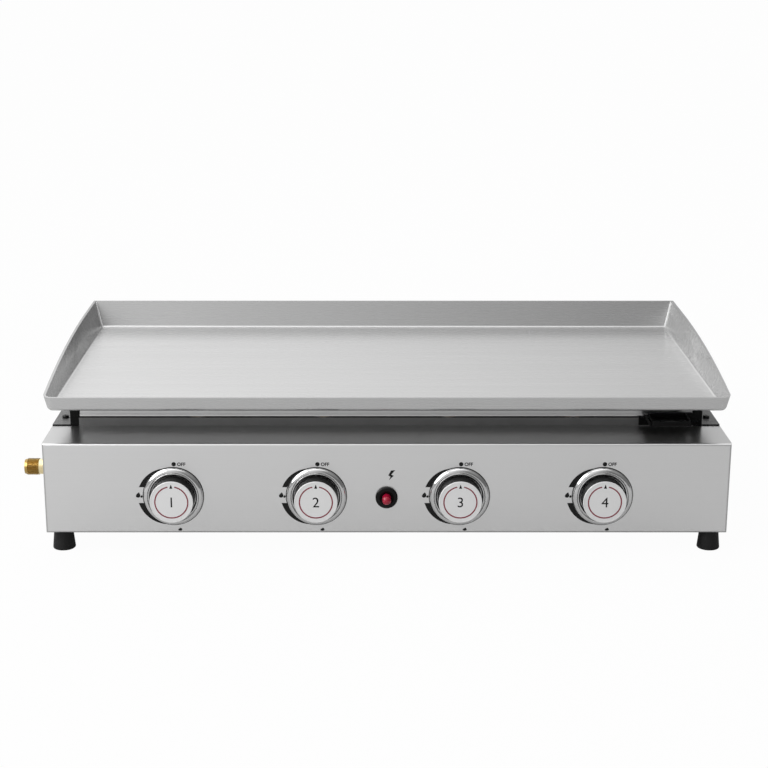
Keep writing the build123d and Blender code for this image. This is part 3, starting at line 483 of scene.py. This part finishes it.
# Black tray and shelf, with painted light in grey on their undersides
tray_black_painted_underside = cast(
    "tray_black_painted_underside", grey(0.002), grey(0.004), roughness=0.6, grain=1400.0, depth=0.05, under=grey(0.3),
    specular_ior_level=0.15,
)
igniter_black = cast(
    "igniter_black", grey(0.003), grey(0.006), roughness=0.3, grain=900.0, depth=0.006, specular_ior_level=0.15
)
ink_black = cast(
    "ink_black", grey(0.005), grey(0.009), roughness=0.5, grain=2500.0, depth=0.004, specular_ior_level=0.2
)
ink_red = cast("ink_red", (0.17, 0.008, 0.022), (0.21, 0.012, 0.03), roughness=0.45, grain=2500.0, depth=0.004)
turned_brass = cast(
    "turned_brass", (0.80, 0.66, 0.36), (0.90, 0.78, 0.50), roughness=0.3, grain=700.0, depth=0.01, metallic=1.0
)
# The weld beads are real; their steel is lighter than the plate's as a painted highlight along the back corners
weld_highlight_steel = cast("weld_highlight_steel", grey(0.84), grey(0.92), roughness=0.36, grain=1500.0, depth=0.01, metallic=1.0)
node_finishes = {
    "left_side_panel": side_steel, "right_side_panel": side_steel,
    "front_stiffener": strip_steel, "rear_stiffener": strip_steel,
    "grease_tray": tray_black_painted_underside, "tray_shelf": tray_black_painted_underside, "igniter_body": igniter_black,
}


def dress_nodes():
    """Gives every solid of the frame the finish of its slot, or one of its own."""
    for part in frame["record"]["subparts"]:
        solid = frame["nodes"][part["node"]]
        solid.data.materials.clear()
        solid.data.materials.append(node_finishes.get(part["node"], finishes[part["material_slot"]]))


# Meshes

def piece(name, mesh, body, finish, smooth_angle=SMOOTH_ANGLE):
    """A new piece of the object, with soft shading over shallow edges."""
    mesh.name = name
    mesh.materials.clear()
    mesh.materials.append(finish)
    mesh.shade_smooth()
    mesh.set_sharp_from_angle(angle=math.radians(smooth_angle))
    made = bpy.data.objects.new(name, mesh)
    bpy.context.scene.collection.objects.link(made)
    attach(made, body)
    return made


def mesh_from(build):
    """Mesh of a bmesh that the given function fills."""
    work = bmesh.new()
    build(work)
    bmesh.ops.recalc_face_normals(work, faces=work.faces)
    mesh = bpy.data.meshes.new("piece")
    work.to_mesh(mesh)
    work.free()
    return mesh


def join_rows(work, rows):
    """Faces between each row of points and the next, with every row closed on itself."""
    for row, following in zip(rows, rows[1:]):
        for k in range(len(row)):
            after = (k + 1) % len(row)
            work.faces.new((row[k], row[after], following[after], following[k]))


def turns_of(steps):
    """Angles of that many even steps round a circle."""
    return [2 * math.pi * k / steps for k in range(steps)]


def middle_of(node):
    low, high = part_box(node)
    return (low + high) / 2


def on_face(point, middle, front):
    """A point (across, up) in millimetres about a middle, on an upright face, in metres."""
    return Vector((middle.x + point[0] * MM, front, middle.z + point[1] * MM))


def marks_mesh(outlines, middle, front):
    """Printed marks with those outlines, as thick as ink, on an upright face."""
    def build(work):
        for outline in outlines:
            face = work.faces.new([work.verts.new(on_face(point, middle, front)) for point in outline])
            raised = bmesh.ops.extrude_face_region(work, geom=[face])["geom"]
            moved = [item for item in raised if isinstance(item, bmesh.types.BMVert)]
            bmesh.ops.translate(work, verts=moved, vec=(0, -INK * MM, 0))

    return mesh_from(build)


def text_mesh(words, height, place, weight=0.0, centred=False):
    """Plain lettering on an upright face, with its capitals that high, which starts or is centred at a place."""
    curve = bpy.data.curves.new("words", "FONT")
    curve.body = words
    curve.extrude = INK / 2 * MM
    curve.offset = weight
    holder = bpy.data.objects.new("words", curve)
    mesh = bpy.data.meshes.new_from_object(holder)
    bpy.data.objects.remove(holder)
    xs = [vertex.co.x for vertex in mesh.vertices]
    ys = [vertex.co.y for vertex in mesh.vertices]
    start = (min(xs) + max(xs)) / 2 if centred else min(xs)
    scale = height * MM / (max(ys) - min(ys))
    mesh.transform(Matrix.Translation((-start, -min(ys), 0)))
    mesh.transform(Matrix.Diagonal((scale, scale, 1, 1)))
    mesh.transform(Matrix.Rotation(math.radians(90), 4, "X"))
    mesh.transform(Matrix.Translation(place - Vector((0, INK / 2 * MM, 0))))
    return mesh


def ring_mesh(axis, inner, outer, front, back):
    """Plain ring about an axis that runs from front to back, from one depth to another."""
    def build(work):
        rows = []
        for radius, depth in [(inner, front), (outer, front), (outer, back), (inner, back)]:
            reach = radius * MM
            spots = [
                (axis.x + reach * math.cos(a), depth, axis.z + reach * math.sin(a)) for a in turns_of(RING_STEPS)
            ]
            rows.append([work.verts.new(spot) for spot in spots])
        join_rows(work, rows + rows[:1])

    return mesh_from(build)


def tube_mesh(points, radius_at, sides, outward=None):
    """Round wire or bead through points, closed at both ends; outward gives a direction across it at each point."""
    def build(work):
        rows = []
        for index, point in enumerate(points):
            along = (points[min(index + 1, len(points) - 1)] - points[max(index - 1, 0)]).normalized()
            across = outward[index] if outward else along.orthogonal().normalized()
            other = along.cross(across).normalized()
            radius = radius_at(index)
            spots = [point + radius * (math.cos(a) * across + math.sin(a) * other) for a in turns_of(sides)]
            rows.append([work.verts.new(spot) for spot in spots])
        join_rows(work, rows)
        work.faces.new(rows[0][::-1])
        work.faces.new(rows[-1])

    return mesh_from(build)


def turned_mesh(stations, axis, start, groove=None):
    """Round bar about an axis that runs across, through stations (along, radius) in millimetres from its start."""
    def build(work):
        rows = []
        for along, radius in stations:
            row = []
            for k, angle in enumerate(turns_of(INLET_STEPS)):
                reach = radius - groove(along, k / INLET_STEPS) if groove else radius
                offset = Vector((0, reach * math.cos(angle), reach * math.sin(angle))) * MM
                row.append(work.verts.new(Vector((start + along * MM, axis.y, axis.z)) + offset))
            rows.append(row)
        join_rows(work, rows + rows[:1])

    return mesh_from(build)


# Printed marks

def circle(radius, middle):
    return [(middle[0] + radius * math.cos(a), middle[1] + radius * math.sin(a)) for a in turns_of(MARK_STEPS)]


def arc_band(inner, outer, start, end, steps=MARK_STEPS):
    """Band between two radii, each a function of the share along the band, from one angle to another."""
    shares = [k / steps for k in range(steps + 1)]
    angles = [math.radians(start + (end - start) * share) for share in shares]
    near = [(inner(s) * math.cos(a), inner(s) * math.sin(a)) for s, a in zip(shares, angles)]
    far = [(outer(s) * math.cos(a), outer(s) * math.sin(a)) for s, a in zip(shares, angles)]
    return near + far[::-1]


def scale_crescent(side, end_rise, tip_angle):
    """One half of the flame scale: cut level beside the flame mark, running out to a point."""
    def outer(share):
        return SCALE_OUTER_R + (SCALE_INNER_R + INK - SCALE_OUTER_R) * share ** SCALE_TAPER

    band = arc_band(lambda share: SCALE_INNER_R, outer, 180.0, tip_angle)
    kept = [(x, z) for x, z in band if z > end_rise]
    near, far = ((-math.sqrt(radius ** 2 - end_rise ** 2), end_rise) for radius in (SCALE_INNER_R, SCALE_OUTER_R))
    return [(x, side * z) for x, z in [near, *kept, far]]


def flame_outline(width, height, middle):
    """Plain flame: round below, drawn up to one tip that leans to the right."""
    turns = turns_of(MARK_STEPS)
    shares = [(1 - math.cos(turn)) / 2 for turn in turns]
    xs = [math.sin(turn) * share ** 0.5 + FLAME_LEAN * (1 - share) ** 2 for turn, share in zip(turns, shares)]
    low, high = min(xs), max(xs)
    return [
        (middle[0] + width * ((x - low) / (high - low) - 0.5), middle[1] + height * (0.5 - share))
        for x, share in zip(xs, shares)
    ]


def print_panel_marks():
    """Off mark, flame scale and low mark beside each knob, and the spark sign over the igniter."""
    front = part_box("front_panel")[0].y
    outlines = [
        circle(OFF_DOT_R, OFF_DOT_PLACE),
        scale_crescent(1, UPPER_END_RISE, UPPER_TIP_ANGLE),
        scale_crescent(-1, LOWER_END_RISE, LOWER_TIP_ANGLE),
        flame_outline(FLAME_WIDTH, FLAME_HEIGHT, FLAME_PLACE),
        flame_outline(FLAME_WIDTH * SMALL_FLAME_SHARE, FLAME_HEIGHT * SMALL_FLAME_SHARE, SMALL_FLAME_PLACE),
        flame_outline(LOW_MARK_WIDTH, LOW_MARK_HEIGHT, LOW_MARK_PLACE),
    ]
    for name in KNOB_CAPS:
        number = name[-1]
        axis = middle_of(name)
        piece(f"panel_marks_{number}", marks_mesh(outlines, axis, front), "casing", ink_black)
        word = text_mesh("OFF", OFF_WORD_HEIGHT, on_face(OFF_WORD_PLACE, axis, front), OFF_WORD_WEIGHT)
        piece(f"off_word_{number}", word, "casing", ink_black)

    spark = marks_mesh([BOLT_OUTLINE], middle_of("igniter_body"), front)
    piece("spark_sign", spark, "casing", ink_black)


def print_cap_marks():
    """Broken ring, pointer and burner number on each cap."""
    half = RING_LINE / 2
    ring = arc_band(
        lambda share: RING_R - half, lambda share: RING_R + half,
        90 + RING_GAP_ANGLE, 450 - RING_GAP_ANGLE, steps=RING_STEPS,
    )
    pointer = [(-POINTER_WIDTH / 2, POINTER_R), (POINTER_WIDTH / 2, POINTER_R), (0.0, POINTER_R + POINTER_HEIGHT)]
    for name in KNOB_CAPS:
        number = name[-1]
        axis = middle_of(name)
        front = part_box(name)[0].y + CAP_RECESS * MM
        body = f"control_{number}"
        piece(f"cap_ring_{number}", marks_mesh([ring], axis, front), body, ink_red)
        piece(f"cap_pointer_{number}", marks_mesh([pointer], axis, front), body, ink_black)
        figure = text_mesh(number, NUMBER_HEIGHT, on_face((0.0, -NUMBER_HEIGHT / 2), axis, front), centred=True)
        piece(f"cap_number_{number}", figure, body, ink_black)


# Trim, welds, springs, inlet and screws

def line_bezels():
    """Thin black ring round each bezel, painted shade standing in for its contact shadow, and a black sleeve in its
    bore.
    """
    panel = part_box("front_panel")[0].y
    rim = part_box("knob_bezels")[0].y + SLEEVE_SETBACK * MM
    for name in KNOB_CAPS:
        number = name[-1]
        axis = middle_of(name)
        # Painted shade: a thin black ring just outside the bezel, where its contact shadow falls
        shade_ring = ring_mesh(axis, SHADE_RING_INNER_R, SHADE_RING_R, panel - SHADE_RING_THICKNESS * MM, panel)
        piece(f"bezel_shade_ring_{number}", shade_ring, "casing", finishes["rubber_black"])
        sleeve = ring_mesh(axis, SLEEVE_R - SLEEVE_WALL, SLEEVE_R, rim, panel)
        piece(f"bezel_sleeve_{number}", sleeve, "casing", finishes["knob_black"])


def ripple_radius(index):
    """Radius of a weld bead at a step along it: each ripple narrows upwards, and the next one laps over it."""
    return (WELD_R - WELD_RIPPLE * (index % WELD_STEPS) / (WELD_STEPS - 1)) * MM


def weld_back_corners():
    """Weld bead up each back corner of the pan."""
    low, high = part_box("griddle_plate")
    slope = math.tan(math.radians(WALL_LEAN))
    run = PLATE_SHEET / math.cos(math.radians(WALL_LEAN)) * MM
    middle = (low.x + high.x) / 2
    half = (high.x - low.x) / 2 - run
    for name, side in (("left", -1), ("right", 1)):
        corner = Vector((middle + side * half, high.y - run, high.z))
        foot = corner + WALL_HEIGHT * MM * Vector((-side * slope, -slope, -1))
        top = corner.lerp(foot, WELD_TOP_GAP / WALL_HEIGHT)
        inward = Vector((-side, -1, 0)).normalized() * WELD_PROUD * MM
        count = round((top - foot).length / (WELD_PITCH * MM)) * WELD_STEPS
        points = [foot.lerp(top, k / count) + inward for k in range(count + 1)]
        bead = tube_mesh(points, ripple_radius, WELD_SIDES)
        piece(f"{name}_corner_weld", bead, "plate", weld_highlight_steel)


def hem_strip():
    """Kicked-out lower edge of the strip, as far as the tray's shelf."""
    low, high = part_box("front_stiffener")
    end = min(high.x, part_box("tray_shelf")[0].x - HEM_CLEARANCE * MM)
    profile = [(0.0, HEM_HEIGHT), (-HEM_PROUD, 0.0), (HEM_DEPTH, 0.0), (HEM_DEPTH, HEM_HEIGHT)]

    def build(work):
        rows = [[work.verts.new((x, low.y + y * MM, low.z + z * MM)) for y, z in profile] for x in (low.x, end)]
        join_rows(work, rows)
        for row in rows:
            work.faces.new(row)

    piece("strip_hem", mesh_from(build), "plate", strip_steel, HEM_SMOOTH_ANGLE)


def coil_spring(node, body):
    """Coil in place of a spring's solid."""
    low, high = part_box(node)
    wire = SPRING_WIRE_R * MM
    radius = (high.x - low.x) / 2 - wire
    axis = middle_of(node)
    count = SPRING_TURNS * SPRING_STEPS
    turns = [2 * math.pi * k / SPRING_STEPS for k in range(count + 1)]
    outward = [Vector((math.cos(a), 0, math.sin(a))) for a in turns]
    depths = [low.y + wire + (high.y - low.y - 2 * wire) * k / count for k in range(count + 1)]
    points = [Vector((axis.x, y, axis.z)) + radius * out for y, out in zip(depths, outward)]
    coil = tube_mesh(points, lambda index: wire, SPRING_SIDES, outward)
    spring = piece(f"{node}_coil", coil, body, finishes["stem_steel"])
    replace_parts(spring, node)
    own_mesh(spring)


def press_springs():
    """Springs of the four taps and the igniter."""
    bodies = {node: body for body, nodes in frame["record"]["behaviour"]["bodies"].items() for node in nodes}
    for node in sorted(name for name in frame["nodes"] if name.endswith("spring") or "_spring_" in name):
        coil_spring(node, bodies[node])


def thread_groove(along, turn):
    """Depth of the inlet's thread at a place along it, and a share of a turn round it."""
    if not TIP_LENGTH <= along < TIP_LENGTH + THREAD_LENGTH:
        return 0.0
    phase = (along / THREAD_PITCH + turn) % 1.0
    return THREAD_DEPTH * (1 - abs(2 * phase - 1))


def thread_inlet():
    """Brass hose connection in place of its plain solid: a threaded end, and the turned neck and spigot behind it."""
    low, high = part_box("inlet_fitting")
    axis = middle_of("inlet_fitting")
    length = (high.x - low.x) / MM
    thread_end = TIP_LENGTH + THREAD_LENGTH
    neck_end = thread_end + NECK_LENGTH
    shank_end = length - SPIGOT_LENGTH
    step = THREAD_PITCH / THREAD_STEPS
    thread = [(TIP_LENGTH + step * k, THREAD_R) for k in range(round(THREAD_LENGTH / step))]
    tip = [(0.0, BORE_R), (0.0, TIP_R), *thread, (thread_end, NECK_R), (thread_end, BORE_R)]
    neck = [
        (thread_end, BORE_R), (thread_end, NECK_R), (neck_end, NECK_R), (neck_end, SHANK_R), (shank_end, SHANK_R),
        (shank_end, SPIGOT_R), (length, SPIGOT_R), (length, BORE_R),
    ]
    threaded = turned_mesh(tip, axis, low.x, thread_groove)
    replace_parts(piece("inlet_thread", threaded, "casing", finishes["brass"]), "inlet_fitting")
    plain = turned_mesh(neck, axis, low.x)
    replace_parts(piece("inlet_neck", plain, "casing", turned_brass), "inlet_fitting")


def screw_middles(screws):
    """Middle of each separate screw in a node of several, from left to right."""
    work = bmesh.new()
    work.from_mesh(screws.data)
    bmesh.ops.remove_doubles(work, verts=work.verts, dist=SAME_POINT * MM)
    left = set(work.verts)
    middles = []
    while left:
        island, edge = set(), [left.pop()]
        while edge:
            vertex = edge.pop()
            island.add(vertex)
            linked = [e.other_vert(vertex) for e in vertex.link_edges]
            edge += [other for other in linked if other in left]
            left.difference_update(linked)
        xs = [v.co.x for v in island]
        ys = [v.co.y for v in island]
        middles.append(((min(xs) + max(xs)) / 2, (min(ys) + max(ys)) / 2))
    work.free()
    return sorted(middles)


def recess_screws():
    """Cuts a cross into the head of each rail screw."""
    screws = frame["nodes"]["rail_screws"]
    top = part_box("rail_screws")[1].z

    def build(work):
        for x, y in screw_middles(screws):
            for angle in RECESS_ANGLES:
                bar = bmesh.ops.create_cube(work, size=1.0)["verts"]
                bmesh.ops.scale(work, verts=bar, vec=(RECESS_LENGTH * MM, RECESS_WIDTH * MM, 2 * RECESS_DEPTH * MM))
                bmesh.ops.rotate(work, verts=bar, matrix=Matrix.Rotation(math.radians(angle), 3, "Z"))
                bmesh.ops.translate(work, verts=bar, vec=(x, y, top))

    cutter = bpy.data.objects.new("recess_cutter", mesh_from(build))
    bpy.context.scene.collection.objects.link(cutter)
    cutter.hide_render = True
    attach(cutter, "casing")
    cut = screws.modifiers.new("cross recess", "BOOLEAN")
    cut.object = cutter
    cut.operation = "DIFFERENCE"
    cut.solver = "EXACT"
    cut.use_self = True


# Camera and studio

def make_camera():
    data = bpy.data.cameras.new("camera")
    data.sensor_width = SENSOR
    data.lens = FOCAL_PX * SENSOR / FRAME_PX
    data.shift_x = (FRAME_PX / 2 - AXIS_COLUMN_PX) / FRAME_PX
    camera = bpy.data.objects.new("camera", data)
    low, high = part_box("front_panel")
    across, back = CAMERA_FROM_PANEL
    camera.location = ((low.x + high.x) / 2 + across * MM, low.y + back * MM, CAMERA_HEIGHT * MM)
    camera.rotation_euler = (math.radians(90 - CAMERA_PITCH), 0, 0)
    bpy.context.scene.collection.objects.link(camera)
    bpy.context.scene.camera = camera


def make_key_lamp():
    """Square softbox to the left of the camera, aimed at the object."""
    data = bpy.data.lights.new("key", "AREA")
    data.size = KEY_SIZE * MM
    data.energy = KEY_POWER
    lamp = bpy.data.objects.new("key", data)
    lamp.location = Vector(KEY_PLACE) * MM
    lamp.rotation_euler = (Vector(KEY_AIM) * MM - lamp.location).to_track_quat("-Z", "Y").to_euler()
    lamp.visible_camera = False
    bpy.context.scene.collection.objects.link(lamp)


def seen_directly(graph, path):
    """1 for the rays that show a thing to the camera, straight or through glass, and 0 for others."""
    return graph.math("MAXIMUM", path.outputs["Is Camera Ray"], path.outputs["Is Transmission Ray"])


def make_floor():
    """White floor that keeps a faint shadow and shows greyer in the metal."""
    reach = FLOOR_HALF * MM
    corners = [(-reach, -reach), (reach, -reach), (reach, reach), (-reach, reach)]
    mesh = mesh_from(lambda work: work.faces.new([work.verts.new((x, y, -FLOOR_DROP * MM)) for x, y in corners]))
    floor = bpy.data.objects.new("floor", mesh)
    bpy.context.scene.collection.objects.link(floor)
    material = bpy.data.materials.new("floor")
    material.use_nodes = True
    graph = Graph(material.node_tree)
    graph.nodes.clear()
    matt = graph.add("ShaderNodeBsdfDiffuse")
    matt.inputs["Color"].default_value = (*grey(FLOOR_PAINT), 1)
    white = graph.add("ShaderNodeEmission")
    path = graph.add("ShaderNodeLightPath")
    seen = graph.math("MULTIPLY", seen_directly(graph, path), FLOOR_SEEN_WHITE)
    share = graph.math("MULTIPLY_ADD", path.outputs["Is Glossy Ray"], FLOOR_MIRRORED_WHITE, seen)
    output = graph.add("ShaderNodeOutputMaterial")
    surface = graph.mix_shaders(share, matt.outputs["BSDF"], white.outputs["Emission"])
    graph.links.new(surface, output.inputs["Surface"])
    mesh.materials.append(material)


def make_world():
    """White room: brightest behind the object, greyer behind the camera, with a light patch straight above."""
    world = bpy.data.worlds.new("studio")
    bpy.context.scene.world = world
    world.use_nodes = True
    graph = Graph(world.node_tree)
    graph.nodes.clear()
    across, back, up = graph.axes(graph.add("ShaderNodeTexCoord").outputs["Generated"])
    front_wall = graph.span(across, FRONT_LEFT, FRONT_RIGHT, LEFT_TO_RIGHT)
    back_wall = graph.span(across, BACK_LEFT, BACK_RIGHT, LEFT_TO_RIGHT)
    back_wall = graph.math("MULTIPLY", back_wall, graph.span(up, BACKDROP, 1.0, BACKDROP_TO_BACK))
    share = graph.span(back, 0.0, 1.0, FRONT_TO_BACK)
    walls = graph.math("MULTIPLY_ADD", graph.math("SUBTRACT", back_wall, front_wall), share, front_wall)
    walls = graph.math("MULTIPLY", walls, graph.span(across, LEFT_WING, 1.0, WING_TO_MIDDLE))
    ceiling = graph.span(up, 0.0, CEILING, WALLS_TO_CEILING)
    overhead = graph.span(up, 0.0, OVERHEAD, CEILING_TO_OVERHEAD)
    around = graph.add("ShaderNodeBackground")
    around.inputs["Color"].default_value = (*grey(1.0), 1)
    graph.feed(around.inputs["Strength"], graph.math("ADD", graph.math("ADD", walls, ceiling), overhead))
    white = graph.add("ShaderNodeBackground")
    white.inputs["Color"].default_value = (*grey(1.0), 1)
    seen = seen_directly(graph, graph.add("ShaderNodeLightPath"))
    output = graph.add("ShaderNodeOutputWorld")
    surface = graph.mix_shaders(seen, around.outputs["Background"], white.outputs["Background"])
    graph.links.new(surface, output.inputs["Surface"])


dress_nodes()
print_panel_marks()
print_cap_marks()
line_bezels()
weld_back_corners()
thread_inlet()
hem_strip()
press_springs()
recess_screws()
make_camera()
make_floor()
make_world()
make_key_lamp()
bpy.context.scene.view_settings.view_transform = "Standard"
